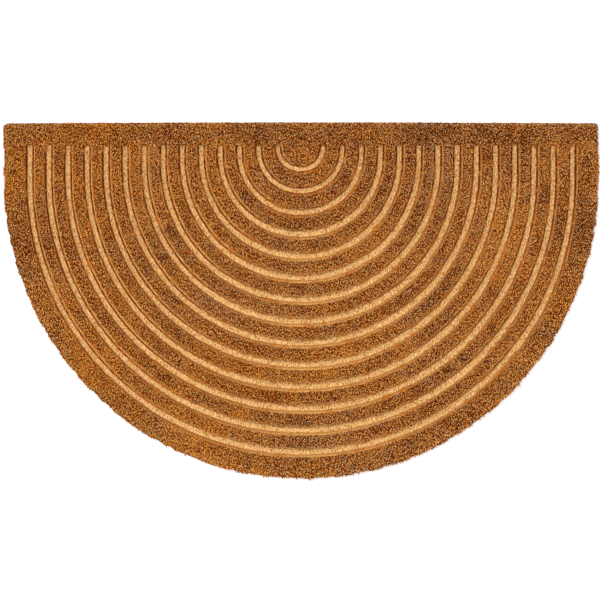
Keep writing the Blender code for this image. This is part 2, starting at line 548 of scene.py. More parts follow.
def new_object(name, data):
    """An object in the scene for a mesh, a light or a camera."""
    item = bpy.data.objects.new(name, data)
    bpy.context.scene.collection.objects.link(item)
    return item


def new_piece(name, mesh, material):
    """An object for a finished mesh, riding on the mat's one body."""
    piece = new_object(name, mesh)
    mesh.materials.append(material)
    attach(piece, "root")
    return piece


def finished_mesh(name, mesh):
    """The mesh data of a shape that has been modelled."""
    data = bpy.data.meshes.new(name)
    mesh.to_mesh(data)
    mesh.free()
    return data


def new_verts(made):
    """The vertices among what a modelling step has made."""
    return [item for item in made if isinstance(item, bmesh.types.BMVert)]


def ground_rows(sizes):
    """Radius, drop and sideways place of each row of the ground, from the arcs' middle out."""
    radii, drops, centres = groove_lines(sizes)
    reach = GROOVE_ROWS[-1]
    across = np.concatenate([-GROOVE_ROWS[:0:-1], GROOVE_ROWS])
    rows = [np.array(((radii[0] - reach) * share, drops[0], centres[0])) for share in INNER_SHARES]
    lines = np.stack([radii, drops, centres], axis=1)
    for index, line in enumerate(lines):
        rows += [line + (offset, 0, 0) for offset in across]
        if index + 1 < len(lines):
            start, end = line + (reach, 0, 0), lines[index + 1] - (reach, 0, 0)
            rows += [start * (1 - share) + end * share for share in RIDGE_SHARES]
    start = lines[-1] + (reach, 0, 0)
    edge = np.array((sizes.width / 2 - GROUND_INSET, sizes.depth - sizes.width / 2, 0))
    return rows + [start * (1 - share) + edge * share for share in BORDER_SHARES]


def row_points(radius, drop, centre):
    """Points along one row: down the left leg, round the arc and up the right leg."""
    last = LEG_STATIONS[-1]
    stations = np.concatenate([LEG_STATIONS, last + (drop - last) * np.array(LEG_SHARES)])
    stations[0] = GROUND_INSET
    leg_y = CAD_HIGH.y - stations
    leg_x = np.full(len(leg_y), radius)
    angles = np.linspace(math.pi, 2 * math.pi, ARC_SEGMENTS + 1)
    x = np.concatenate([-leg_x, radius * np.cos(angles), leg_x])
    y = np.concatenate([leg_y, CAD_HIGH.y - drop + radius * np.sin(angles), leg_y[::-1]])
    return x + centre, y


def pulled_in(x, y, sizes):
    """Moves the points near the outline in to the hand-cut edge."""
    inside, out_x, out_y = true_outline(x, y, sizes)
    pull = outline_pull(x, y, out_y, sizes) * (1 - smooth_step(inside, 1 * MM, 22 * MM))
    return x - out_x * pull, y - out_y * pull


def round_corners(x, y, sizes):
    """Pulls the points near the two back corners onto their rounding."""
    radius = sizes.width / 2 - GROUND_INSET
    back = CAD_HIGH.y - GROUND_INSET
    corner = sizes.corner_radius
    corner_x = np.maximum(np.abs(x) - (radius - corner), 0)
    corner_y = np.maximum(y - (back - corner), 0)
    reach = np.hypot(corner_x, corner_y)
    square = np.maximum(corner_x, corner_y)
    pull = np.where(reach > 0, square / np.maximum(reach, TINY), 1)
    new_x = np.where(corner_x > 0, np.sign(x) * (radius - corner + corner_x * pull), x)
    new_y = np.where(corner_y > 0, back - corner + corner_y * pull, y)
    return new_x, new_y


def ground_height(distance, crease_and_shade):
    """Height of the ground by the distance from a pressed floor and how creased the slope's foot is."""
    creased = np.interp(distance, PROFILE_DISTANCE, CREASED_HEIGHT)
    plain = np.interp(distance, PROFILE_DISTANCE, OPEN_HEIGHT)
    return plain + (creased - plain) * crease_and_shade


def ground_shape(x, y, sizes, seed):
    """Lays the flat plan points into the pressed shape. Returns their places and what they lie in."""
    distance, away_x, away_y, nearest = groove_distance(x, y, sizes)
    start, crease_and_shade, combed = slope_traits(x, y, away_x, away_y, nearest, sizes)
    reach = by_bearing(FLOOR_REACH, away_x, away_y) * (0.3 + 0.7 * smooth_step(nearest, 0, 5))
    reach = np.where(behind_grooves(y, sizes), 0, reach)
    distance = distance - reach * smooth_step(distance, -2.4 * MM, -0.8 * MM)
    height = ground_height(distance, crease_and_shade)
    floor = smooth_step(-distance, -0.1 * MM, 0.4 * MM)
    pile = smooth_step(distance, 3.5 * MM, 6 * MM)
    slope = (1 - floor) * (1 - pile)
    height = height + floor * layered_noise(x, y, FLOOR_LUMPS, seed + FLOOR_LUMP_SEED)
    height = height + pile * layered_noise(x, y, PILE_LUMPS, seed + PILE_LUMP_SEED)
    height = height + slope * layered_noise(x, y, SLOPE_LUMPS, seed + SLOPE_LUMP_SEED)
    inside, _, _ = outline_distance(x, y, sizes)
    height = np.minimum(height, np.interp(inside, EDGE_DISTANCE, EDGE_HEIGHT))
    near = smooth_step(distance, -3.3 * MM, 0) * (1 - smooth_step(distance, 4 * MM, 6 * MM))
    shift = near * groove_wander(x, y, seed)
    # Where the slope's foot takes painted shade, broken up here and there; the mesh carries it to the
    # material.
    broken = np.clip(1.15 + 0.5 * smooth_noise(x, y, 9 * MM, seed + CREASE_SEED), 0, 1)
    return x + away_x * shift, y + away_y * shift, height, {
        "groove_distance": distance,
        "crease_and_shade": crease_and_shade * broken,
        "combed": combed,
        "pile_start": start - reach,
    }


def build_ground_mesh(sizes, seed):
    """The body of the mat under its fibres: one closed mesh with the grooves pressed in."""
    rows = ground_rows(sizes)
    points = [row_points(*row) for row in rows]
    x, y = (np.concatenate(along) for along in zip(*points))
    x, y = pulled_in(*round_corners(x, y, sizes), sizes)
    x, y, z, values = ground_shape(x, y, sizes, seed)
    columns = len(x) // len(rows)

    mesh = bmesh.new()
    bmesh.ops.create_grid(mesh, x_segments=columns - 1, y_segments=len(rows) - 1, size=1)
    for name in values:
        mesh.verts.layers.float.new(name)
    layers = {name: mesh.verts.layers.float[name] for name in values}
    for vert in mesh.verts:
        column = round((vert.co.x + 1) / 2 * (columns - 1))
        row = round((vert.co.y + 1) / 2 * (len(rows) - 1))
        place = row * columns + column
        vert.co = (x[place], y[place], z[place])
        for name, layer in layers.items():
            vert[layer] = values[name][place]
    bmesh.ops.remove_doubles(mesh, verts=mesh.verts, dist=1e-6)
    top_faces = set(mesh.faces)
    rim = [edge for edge in mesh.edges if edge.is_boundary]
    side = bmesh.ops.extrude_edge_only(mesh, edges=rim)["geom"]
    for vert in new_verts(side):
        vert.co.z = SIDE_FOOT
    foot = [edge for edge in side if isinstance(edge, bmesh.types.BMEdge) and edge.is_boundary]
    bmesh.ops.holes_fill(mesh, edges=foot, sides=0)
    bmesh.ops.recalc_face_normals(mesh, faces=mesh.faces)
    lay_ground_map(mesh, top_faces, sizes)
    for face in mesh.faces:
        face.smooth = face in top_faces
    return finished_mesh("mat_ground", mesh)


def lay_ground_map(mesh, top_faces, sizes):
    """Lays out the flat map: the top as seen from above, then the side strip and the underside."""
    layer = mesh.loops.layers.uv.new("OFBake")
    scale = MAP_WIDTH / sizes.width
    scale_x, scale_y = (scale * share for share in MAP_UNDERSIDE_SIZE)
    scale_along, scale_up = MAP_SIDE_SIZE
    for face in mesh.faces:
        middle = face.calc_center_median()
        along = math.atan2(middle.x, -middle.y) / math.pi
        for loop in face.loops:
            x, y, z = loop.vert.co
            if face in top_faces:
                loop[layer].uv = (0.5 + x * scale, MAP_TOP - (CAD_HIGH.y - y) * scale)
            elif len(face.verts) > 4:
                loop[layer].uv = (0.5 + x * scale_x, MAP_UNDERSIDE + y * scale_y)
            else:
                step = math.atan2(x, -y) / math.pi - along
                step -= round(step / 2) * 2
                loop[layer].uv = (0.5 + scale_along * (along + step), MAP_SIDE + scale_up * z)


def build_underside_mesh(sizes):
    """A thin coat of the mat's own outline, under it."""
    radius = sizes.width / 2 - UNDERSIDE_INSET
    centre = Vector((0, CAD_LOW.y + sizes.width / 2, 0))
    mesh = bmesh.new()
    left = mesh.verts.new(centre + Vector((-radius, 0, 0)))
    spun = bmesh.ops.spin(mesh, geom=[left], cent=centre, axis=(0, 0, 1), angle=math.pi, steps=120)
    corners = []
    for end in (left, new_verts(spun["geom_last"])[0]):
        made = bmesh.ops.extrude_vert_indiv(mesh, verts=[end])
        made["verts"][0].co.y = CAD_HIGH.y - UNDERSIDE_INSET
        corners += made["verts"]
    mesh.edges.new(corners)
    bmesh.ops.contextual_create(mesh, geom=mesh.edges)
    bmesh.ops.bevel(
        mesh,
        geom=corners,
        affect="VERTICES",
        offset=sizes.corner_radius - UNDERSIDE_INSET,
        offset_type="OFFSET",
        segments=6,
        profile=0.5,
        material=-1,
    )
    for vert in mesh.verts:
        x, y = pulled_in(np.array([vert.co.x]), np.array([vert.co.y]), sizes)
        vert.co.x, vert.co.y = x[0], y[0]
    lifted = bmesh.ops.extrude_face_region(mesh, geom=list(mesh.faces))["geom"]
    bmesh.ops.translate(mesh, verts=new_verts(lifted), vec=(0, 0, UNDERSIDE_THICKNESS))
    bmesh.ops.recalc_face_normals(mesh, faces=mesh.faces)
    return finished_mesh("underside_coat", mesh)


def fibre_shape(foot, head, rings=0):
    """A closed three-sided fibre one unit long, by its radii, with rings between where it bends."""
    mesh = bmesh.new()
    bmesh.ops.create_cone(mesh, cap_ends=True, segments=3, radius1=foot, radius2=head, depth=1)
    bmesh.ops.remove_doubles(mesh, verts=mesh.verts, dist=1e-4)
    bmesh.ops.translate(mesh, verts=mesh.verts, vec=(0, 0, 0.5))
    if rings:
        long_edges = [e for e in mesh.edges if abs(e.verts[0].co.z - e.verts[1].co.z) > 0.5]
        bmesh.ops.subdivide_edges(mesh, edges=long_edges, cuts=rings, use_grid_fill=True)
    bmesh.ops.triangulate(mesh, faces=mesh.faces)
    bmesh.ops.recalc_face_normals(mesh, faces=mesh.faces)
    mesh.verts.index_update()
    points = np.array([v.co[:] for v in mesh.verts])
    faces = np.array([[v.index for v in face.verts] for face in mesh.faces])
    mesh.free()
    return points, faces


def copies_of(faces, count, corners, first=0):
    """The faces of many copies of a small shape, whose corners stand one copy after another."""
    steps = np.arange(count) * corners + first
    return (faces[None] + steps[:, None, None]).reshape(-1, 3)


def joined_mesh(name, points, faces, tones, hues):
    """One mesh from many copies of a small shape, each corner with its own tone and hue."""
    mesh = bpy.data.meshes.new(name)
    mesh.vertices.add(len(points))
    mesh.vertices.foreach_set("co", points.astype(np.float32).ravel())
    corners = faces.astype(np.int32).ravel()
    mesh.loops.add(len(corners))
    mesh.loops.foreach_set("vertex_index", corners)
    mesh.polygons.add(len(faces))
    mesh.polygons.foreach_set("loop_start", np.arange(0, len(corners), 3, dtype=np.int32))
    mesh.polygons.foreach_set("use_smooth", np.ones(len(faces), dtype=bool))
    mesh.update(calc_edges=True)
    layer = mesh.uv_layers.new(name="OFBake")
    looks = np.clip(np.stack([tones, hues], axis=1), 0.01, 0.99).astype(np.float32)
    layer.uv.foreach_set("vector", looks[corners].ravel())
    mesh.validate()
    return mesh


def spikes(name, fibres, rng):
    """A mesh of spikes from root to tip, with painted shade darkening the root. Splayed ones are broad at
    the tip.
    """
    parts = []
    start = 0
    for splayed in (False, True):
        chosen = {key: values[fibres["splayed"] == splayed] for key, values in fibres.items()}
        count = len(chosen["root"])
        shape, faces = fibre_shape(0, 1) if splayed else fibre_shape(1, 0)
        across_x, across_y, along = (shape[None, :, i : i + 1] for i in range(3))
        at_tip = shape[:, 2] > 0.5
        axis = chosen["tip"] - chosen["root"]
        length = np.maximum(np.linalg.norm(axis, axis=1, keepdims=True), TINY)
        axis = axis / length
        helper = np.where(np.abs(axis[:, 2:3]) > 0.9, np.array([[1.0, 0, 0]]), np.array([[0, 0, 1.0]]))
        first = np.cross(axis, helper)
        first /= np.linalg.norm(first, axis=1, keepdims=True)
        second = np.cross(axis, first)
        turn = rng.uniform(0, 2 * math.pi, (count, 1))
        first, second = (
            first * np.cos(turn) + second * np.sin(turn),
            second * np.cos(turn) - first * np.sin(turn),
        )
        uneven = rng.uniform(0.75, 1.3, (count, len(shape), 1))
        radius = (chosen["width"] / 2)[:, None, None] * uneven
        around = first[:, None] * across_x * radius + second[:, None] * across_y * radius
        if splayed:
            around = around * np.array([NARROWING, 1 / NARROWING, 1])
        points = chosen["root"][:, None] + around + axis[:, None] * along * length[:, :, None]
        if splayed:
            points[:, at_tip, 2] += rng.uniform(-SPLAY, SPLAY, (count, at_tip.sum())) * MM
        tones = np.where(at_tip[None], chosen["tone"][:, None], chosen["shaded_foot_tone"][:, None])
        tones = tones + rng.uniform(-CORNER_TONE, CORNER_TONE, tones.shape)
        hues = chosen["hue"][:, None] + rng.uniform(-CORNER_HUE, CORNER_HUE, tones.shape)
        all_faces = copies_of(faces, count, len(shape), start)
        start += count * len(shape)
        parts.append((points.reshape(-1, 3), all_faces, tones.ravel(), hues.ravel()))
    return joined_mesh(name, *(np.concatenate(items) for items in zip(*parts)))


# Fibres: where they stand or lie, and how light and how ochre each is.


def picked(keep, *arrays):
    """The values of each array at the points that are kept."""
    return (values[keep] for values in arrays)


def places(x, y, z):
    """Points, one to a row."""
    return np.stack([x, y, z], axis=1)


def moved(x, y, ahead_x, ahead_y, ahead, aside):
    """Points moved by one distance along a heading and by another square to it, to its left."""
    return x + ahead_x * ahead - ahead_y * aside, y + ahead_y * ahead + ahead_x * aside


def lengths(rng, limits, count):
    """Random lengths between two limits, which are given in millimetres."""
    return rng.uniform(*limits, count) * MM


def fibre_set(root, tip, width, tone, shaded_foot_tone, hue, splayed=False):
    """Fibres of one kind, ready to be made spikes."""
    return {
        "root": root,
        "tip": tip,
        "width": width,
        "tone": tone,
        "shaded_foot_tone": shaded_foot_tone,
        "hue": hue,
        "splayed": np.full(len(width), splayed),
    }


def soiling(x, y, seed):
    """Where the pile is darker and greyer, in spots about a centimetre across, from 0 to 1."""
    return smooth_step(layered_noise(x, y, SOIL_LAYERS, seed + SOIL_SEED), 0.42, 0.8)


def back_band(y):
    """1 in the plain band along the straight edge, falling to 0 in front of it."""
    return 1 - smooth_step(CAD_HIGH.y - y, 20 * MM, 34 * MM)


def pile_tone(x, y, seed):
    """Slow changes of the pile's lightness from patch to patch, about zero."""
    worn = sum(
        change * np.exp(-((x - place_x * MM) ** 2 + (y - place_y * MM) ** 2) / (size * MM) ** 2)
        for place_x, place_y, size, change in WORN_PLACES
    )
    return (
        worn
        + layered_noise(x, y, TONE_LAYERS, seed + TONE_SEED)
        + 0.42 * (pile_hue(x, y, seed) - 0.55)
        - 0.05 * back_band(y)
        - 0.09 * soiling(x, y, seed)
        + 0.03 * smooth_step(-y, 80 * MM, 200 * MM)
    )


def pile_hue(x, y, seed):
    """Slow changes from a greyish plum brown, 0, to ochre, 1."""
    return (
        0.52
        + 0.08 * smooth_step(-y, -140 * MM, 0)
        + layered_noise(x, y, HUE_LAYERS, seed + HUE_SEED)
        - 0.20 * back_band(y) * smooth_step(x, -230 * MM, -60 * MM)
        - 0.25 * soiling(x, y, seed)
    )


def edge_highlight(inside, out_y):
    """How much lighter the pile is painted towards the mat's straight and round edges: a painted
    highlight where the edge tufts catch the light.
    """
    straight = 0.5 * (1 - smooth_step(inside, 2 * MM, 5.5 * MM))
    curved = 0.2 * (1 - smooth_step(inside, 2 * MM, 13 * MM))
    return np.where(out_y > 0.5, straight, curved)


def scatter_counts(sizes, spacing):
    """How many columns and rows of scattered points the mat's box takes."""
    return (
        int((sizes.width + 2 * SCATTER_MARGIN) / (spacing * NARROWING)),
        int((sizes.depth + 2 * SCATTER_MARGIN) / (spacing / NARROWING)),
    )


def scattered(sizes, spacing, rng):
    """Points over the mat's box, one at a random place in each small cell."""
    columns, rows = scatter_counts(sizes, spacing)
    column, row = np.meshgrid(np.arange(columns), np.arange(rows))
    column = column.ravel() + rng.uniform(0, 1, columns * rows)
    row = row.ravel() + rng.uniform(0, 1, columns * rows)
    x = CAD_LOW.x - SCATTER_MARGIN + column * spacing * NARROWING
    y = CAD_LOW.y - SCATTER_MARGIN + row * spacing / NARROWING
    return x, y


def contrasting(sizes, spacing, rng):
    """A random value from -1 to 1 for each scattered point, pushed away from its neighbours' values."""
    columns, rows = scatter_counts(sizes, spacing)
    value = rng.uniform(-1, 1, (rows, columns))
    around = sum(np.roll(value, step, axis) for step in (-1, 1) for axis in (0, 1)) / 4
    value = value - 0.8 * around
    ranks = value.ravel().argsort().argsort()
    return 2 * (ranks + 0.5) / len(ranks) - 1


def standing_fibres(sizes, pile, splayed, spacing, rng):
    """The pile's tufts, splayed at the top, or the thin fibres that stand among them."""
    x, y = scattered(sizes, spacing, rng)
    tuft = contrasting(sizes, spacing, rng)
    inside, out_x, out_y = outline_distance(x, y, sizes)
    inside = inside + layered_noise(x, y, OUTLINE_WANDER, pile.seed + OUTLINE_SEED)
    distance, away_x, away_y, nearest = groove_distance(x, y, sizes)
    distance = distance - groove_wander(x, y, pile.seed)
    start, crease_and_shade, _ = slope_traits(x, y, away_x, away_y, nearest, sizes)
    ragged = layered_noise(x, y, RAGGED_EDGE, pile.seed + RAGGED_SEED)
    start = start + ragged + rng.uniform(-0.45, 0.45, len(x)) * MM
    keep = (inside > PILE_INSET) & (distance > start)
    x, y, inside, out_x, out_y, tuft = picked(keep, x, y, inside, out_x, out_y, tuft)
    distance, away_x, away_y = picked(keep, distance, away_x, away_y)
    nearest, crease_and_shade = picked(keep, nearest, crease_and_shade)
    count = len(x)

    # Each fibre leans its own way, a little with its clump, and outwards at the mat's edge.
    clump_x, clump_y, clump_hue = clump_values(x, y, pile.seed + CLUMP_SEED)
    heading = rng.uniform(0, 2 * math.pi, count)
    lean = pile.lean if splayed else THIN_LEAN * pile.lean
    loose = rng.uniform(0, 1, count) ** 0.8 * math.tan(lean)
    fringe = np.interp(inside, FRINGE_DISTANCE, [FRINGE_LEAN, 0])
    lean_x = LOOSE_LEAN[0] * loose * np.cos(heading) + CLUMP_LEAN[0] * clump_x + fringe * out_x
    lean_y = LOOSE_LEAN[1] * loose * np.sin(heading) + CLUMP_LEAN[1] * clump_y + fringe * out_y

    # Its foot stands in the ground, and its tip is lower beside a groove and at the mat's edge.
    ground = np.minimum(ground_height(distance, crease_and_shade), np.interp(inside, EDGE_DISTANCE, EDGE_HEIGHT))
    top = np.interp(distance, TIP_DISTANCE, TIP_HEIGHT)
    top = np.minimum(top, np.interp(inside, RIM_DISTANCE, RIM_HEIGHT))
    if not splayed:
        top = top + rng.uniform(0.0, 0.7, count) * MM
    top = top + layered_noise(x, y, TIP_LUMPS, pile.seed + TIP_SEED)
    top = top + rng.normal(0, 0.2 * MM, count) + TUFT_RISE * tuft
    foot = ground - ROOT_DEPTH
    rise = np.maximum(top - foot, SHORTEST_FIBRE)
    nap = NAP[None, :] * rise[:, None]
    root = places(x, y, foot) - SET_BACK * nap
    tip = root + places(lean_x * rise, lean_y * rise, rise) + nap
    width = (pile.tuft if splayed else pile.width) * rng.uniform(0.75, 1.25, count)

    # The tallest tufts are the lightest, and so are some of the thin fibres.
    if not splayed:
        pale = rng.uniform(0, 1, count) < PALE_SHARE
        tuft = np.where(pale, rng.uniform(0.5, 1.0, count), tuft)
    # Painted light at the pile's rim beside a slope: a painted highlight on some bearings, and painted
    # shade, darker and more ochre, where the rim overhangs the slope and at a creased foot.
    crest_highlight = by_bearing(CREST_HIGHLIGHT, away_x, away_y) * (1 - smooth_step(distance, 3.0 * MM, 4.4 * MM))
    overhang_shade = by_bearing(OVERHANG_SHADE, away_x, away_y) * (1 - smooth_step(distance, 2.4 * MM, 3.4 * MM))
    foot_crease_shade = crease_and_shade * (1 - smooth_step(distance, 1.6 * MM, 2.4 * MM))
    tone = PILE_LIGHTNESS + TUFT_CONTRAST * tuft + pile_tone(x, y, pile.seed)
    tone = tone + edge_highlight(inside, out_y) + crest_highlight - 0.12 * overhang_shade
    hue = pile_hue(x, y, pile.seed) + CLUMP_CONTRAST * clump_hue + rng.normal(0, 0.12, count)
    hue = hue + 0.3 * np.maximum(overhang_shade, foot_crease_shade) - 0.9 * crest_highlight
    # A fibre's foot is painted much darker: painted shade deep in the pile.
    fibres = fibre_set(root, tip, width, tone, tone * 0.5 - 0.05, hue, splayed)
    fibres["nearest"] = nearest
    return fibres


def combed_fibres(sizes, pile, rng):
    """Fibres combed down the open slopes, towards the pressed floors."""
    x, y = scattered(sizes, COMBED_SPACING, rng)
    distance, away_x, away_y, nearest = groove_distance(x, y, sizes)
    distance = distance - groove_wander(x, y, pile.seed)
    inside, _, _ = outline_distance(x, y, sizes)
    start, crease_and_shade, combed = slope_traits(x, y, away_x, away_y, nearest, sizes)
    keep = (distance > 1.5 * MM) & (distance < start + 1.2 * MM) & (inside > GROOVE_MARGIN)
    keep &= rng.uniform(0, 1, len(x)) < combed**1.5
    x, y, distance, away_x, away_y = picked(keep, x, y, distance, away_x, away_y)
    crease_and_shade, combed = picked(keep, crease_and_shade, combed)
    count = len(x)
    room = distance - np.interp(crease_and_shade, TIP_CREASE, NEAREST_TIP)
    run = np.clip(lengths(rng, COMBED_RUN, count), 0.6 * MM, np.maximum(room, 0.6 * MM))
    tip_x, tip_y = moved(x, y, away_x, away_y, -run, rng.normal(0, 0.35, count) * run)
    foot = ground_height(distance, crease_and_shade) - 0.3 * MM
    end = ground_height(distance - run, crease_and_shade) + rng.uniform(0.15, 0.6, count) * MM
    # Combed fibres are lighter where the slope is painted as lit.
    tone = 0.66 + 0.18 * combed + rng.normal(0, 0.16, count)
    return fibre_set(
        root=places(x, y, foot),
        tip=places(tip_x, tip_y, end),
        width=lengths(rng, COMBED_WIDTH, count),
        tone=tone,
        shaded_foot_tone=tone - 0.12,
        hue=pile_hue(x, y, pile.seed) - 0.22 + rng.normal(0, 0.12, count),
    )


def smeared_fibres(sizes, pile, rng):
    """Small clumps of pale fibres dragged over the edges of the ridges, here and there."""
    x, y = scattered(sizes, SMEARED_SPACING, rng)
    distance, away_x, away_y, _ = groove_distance(x, y, sizes)
    inside, _, _ = outline_distance(x, y, sizes)
    clump = layered_noise(x, y, SMEAR_LAYERS, pile.seed + SMEAR_SEED)
    keep = (distance > 0.6 * MM) & (distance < 3.6 * MM) & (inside > GROOVE_MARGIN) & (clump > 0.45)
    x, y, distance, away_x, away_y = picked(keep, x, y, distance, away_x, away_y)
    count = len(x)
    run = lengths(rng, SMEARED_RUN, count)
    tip_x, tip_y = moved(x, y, away_x, away_y, -run, rng.normal(0, 0.4, count) * run)
    foot = np.interp(distance, DRAG_DISTANCE, DRAG_HEIGHT)
    end = np.interp(distance - run, DRAG_DISTANCE, DRAG_HEIGHT) + rng.uniform(0.1, 0.5, count) * MM
    tone = rng.uniform(0.68, 1.0, count)
    return fibre_set(
        root=places(x, y, foot),
        tip=places(tip_x, tip_y, end),
        width=lengths(rng, SMEARED_WIDTH, count),
        tone=tone,
        shaded_foot_tone=tone - 0.1,
        hue=0.6 + rng.normal(0, 0.15, count),
    )


def pressed_fibres(sizes, rng):
    """Fibres pressed flat on the floors of the grooves: most pale, some dark, and a few long hairs."""
    x, y = scattered(sizes, PRESSED_SPACING, rng)
    distance, away_x, away_y, _ = groove_distance(x, y, sizes)
    x, y, away_x, away_y = picked(distance < -0.5 * MM, x, y, away_x, away_y)
    count = len(x)
    dark = rng.uniform(0, 1, count) < DARK_SHARE
    hair = rng.uniform(0, 1, count) < HAIR_SHARE
    heading = np.arctan2(away_x, -away_y) + rng.normal(0, 0.9, count)
    length = lengths(rng, PRESSED_RUN, count) * np.where(dark, 0.8, 1.0)
    heading = np.where(hair, rng.uniform(0, 2 * math.pi, count), heading)
    length = np.where(hair, lengths(rng, HAIR_LENGTH, count), length)
    rise = np.where(hair, 0.9, rng.uniform(0.1, 0.45, count)) * MM
    middle = places(x, y, np.full(count, PRESSED_HEIGHT))
    reach = places(np.cos(heading) * length, np.sin(heading) * length, rise)
    tone = np.where(dark, rng.uniform(0.15, 0.55, count), rng.uniform(0.85, 1.0, count))
    tone = np.where(hair, 0.18, tone)
    return fibre_set(
        root=middle - 0.4 * reach,
        tip=middle + 0.6 * reach,
        width=np.where(dark, 0.45, 0.7) * rng.uniform(0.8, 1.3, count) * MM,
        tone=tone,
        shaded_foot_tone=tone,
        hue=0.6 + rng.normal(0, 0.15, count),
    )


def side_fibres(sizes, pile, rng):
    """Fibres that show at the mat's cut sides, most of them nearly upright."""
    x, y = scattered(sizes, SIDE_SPACING, rng)
    inside, out_x, out_y = outline_distance(x, y, sizes)
    keep = (inside > 0.5 * MM) & (inside < 1.7 * MM)
    x, y, inside, out_x, out_y = picked(keep, x, y, inside, out_x, out_y)
    count = len(x)
    foot = lengths(rng, SIDE_FEET, count)
    length = lengths(rng, SIDE_LENGTH, count)
    reach = np.minimum(rng.uniform(0.05, 0.28, count) * length, inside + 0.35 * MM)
    tip_x, tip_y = moved(x, y, out_x, out_y, reach, rng.normal(0, 0.22, count) * length)
    top = np.minimum(foot + length, 14.4 * MM + rng.normal(0, 0.25 * MM, count))
    tone = 0.28 + 0.20 * (top / CAD_SIZE.z) + rng.normal(0, 0.18, count)
    return fibre_set(
        root=places(x, y, foot),
        tip=places(tip_x, tip_y, top),
        width=lengths(rng, SIDE_WIDTH, count),
        tone=tone,
        shaded_foot_tone=tone - 0.2,
        hue=pile_hue(x, y, pile.seed) + rng.normal(0, 0.15, count),
    )


def loose_lines(sizes, wanted, rng):
    """Starts and ends of the fibres that lie loose on the pile."""
    x, y = (rng.uniform(CAD_LOW[i], CAD_HIGH[i], wanted * 2) for i in (0, 1))
    inside, _, _ = outline_distance(x, y, sizes)
    x, y = picked(np.flatnonzero(inside > 9 * MM)[:wanted], x, y)
    count = len(x)
    heading = rng.uniform(0, 2 * math.pi, count)
    length = lengths(rng, LOOSE_LENGTH, count)
    reach_x, reach_y = np.cos(heading) * length / 2, np.sin(heading) * length / 2
    level = LOOSE_HEIGHT + lengths(rng, (0, 0.5), count)
    end_level = level - 1.2 * MM * rng.uniform(0, 1, count)
    return (
        places(x - reach_x, y - reach_y, level - 1.6 * MM),
        places(x + reach_x, y + reach_y, end_level),
    )


def edge_lines(sizes, wanted, rng):
    """Starts and ends of the fibres that stick out past the mat's edge."""
    x, y = (rng.uniform(CAD_LOW[i], CAD_HIGH[i], EDGE_TRIES) for i in (0, 1))
    inside, out_x, out_y = outline_distance(x, y, sizes)
    keep = np.flatnonzero((inside > 2 * MM) & (inside < 3.5 * MM))[:wanted]
    x, y, out_x, out_y, inside = picked(keep, x, y, out_x, out_y, inside)
    count = len(x)
    out = inside + lengths(rng, EDGE_REACH, count)
    side = rng.normal(0, 2.5, count) * MM
    start = places(x, y, lengths(rng, EDGE_FEET, count))
    run_x, run_y = moved(0, 0, out_x, out_y, out, side)
    return start, start + places(run_x, run_y, lengths(rng, EDGE_RISE, count))


def stray_mesh(name, sizes, pile, rng):
    """Long bent fibres lying loose on the pile, and a few that stick out past the edge."""
    on_pile = loose_lines(sizes, pile.stray_count, rng)
    at_edge = edge_lines(sizes, pile.stray_count // STRAYS_FOR_EDGE, rng)
    start, end = (np.concatenate(pair) for pair in zip(on_pile, at_edge))
    count = len(start)
    middle = (start + end) / 2
    run = end - start
    bend = rng.normal(0, 0.28, count)
    middle[:, 0] -= run[:, 1] * bend
    middle[:, 1] += run[:, 0] * bend
    middle[:, 2] = np.maximum(start[:, 2], end[:, 2]) + 0.9 * MM

    shape, faces = fibre_shape(1.0, 0.35, STRAY_RINGS)
    across_x, across_y, t = (shape[None, :, i : i + 1] for i in range(3))
    centre = start[:, None] * (1 - t) ** 2 + middle[:, None] * 2 * t * (1 - t) + end[:, None] * t**2
    tangent = (middle - start)[:, None] * 2 * (1 - t) + (end - middle)[:, None] * 2 * t
    tangent /= np.linalg.norm(tangent, axis=2, keepdims=True)
    side = np.cross(tangent, np.array([0.0, 0.0, 1.0]))
    side /= np.linalg.norm(side, axis=2, keepdims=True)
    rise = np.cross(side, tangent)
    radius = lengths(rng, STRAY_RADIUS, (count, 1, 1))
    points = centre + (side * across_x + rise * across_y) * radius
    pale = rng.uniform(0, 1, count) < PALE_STRAYS
    tone = np.where(pale, rng.uniform(0.75, 1.0, count), rng.uniform(0.1, 0.4, count))
    tones = np.repeat(tone, len(shape)) + rng.uniform(-CORNER_TONE, CORNER_TONE, count * len(shape))
    hues = np.repeat(rng.uniform(0.3, 0.8, count), len(shape))
    return joined_mesh(name, points.reshape(-1, 3), copies_of(faces, count, len(shape)), tones, hues)


# Materials.


def feed(tree, node, inputs):
    """Sets a node's inputs to values, or links them to the outputs of other nodes."""
    for key, value in inputs.items():
        if isinstance(value, bpy.types.NodeSocket):
            tree.links.new(value, node.inputs[key])
        else:
            node.inputs[key].default_value = value


def add(tree, kind, inputs=None, **options):
    """A node of one kind, with its options and input values or links set."""
    node = tree.nodes.new("ShaderNode" + kind)
    for name, value in options.items():
        setattr(node, name, value)
    feed(tree, node, inputs or {})
    return node


def ramp(tree, factor, stops):
    """A colour ramp through the given (place, colour) stops."""
    node = add(tree, "ValToRGB", {"Fac": factor})
    elements = node.color_ramp.elements
    while len(elements) < len(stops):
        elements.new(0.5)
    for element, (place, colour) in zip(elements, stops):
        element.position = place
        element.color = colour
    return node.outputs["Color"]


def mixed(tree, factor, first, second, blend="MIX"):
    """Two colours mixed by a factor."""
    inputs = {0: factor, 6: first, 7: second}
    return add(tree, "Mix", inputs, data_type="RGBA", blend_type=blend).outputs[2]


def spread(tree, value, low, high, to_low=0.0, to_high=1.0):
    """A value stretched from one range to another, clamped."""
    inputs = {"Value": value, "From Min": low, "From Max": high, "To Min": to_low, "To Max": to_high}
    return add(tree, "MapRange", inputs).outputs["Result"]


def math_node(tree, operation, first, second, third=0.0):
    """A sum on two or three values."""
    return add(tree, "Math", {0: first, 1: second, 2: third}, operation=operation).outputs["Value"]


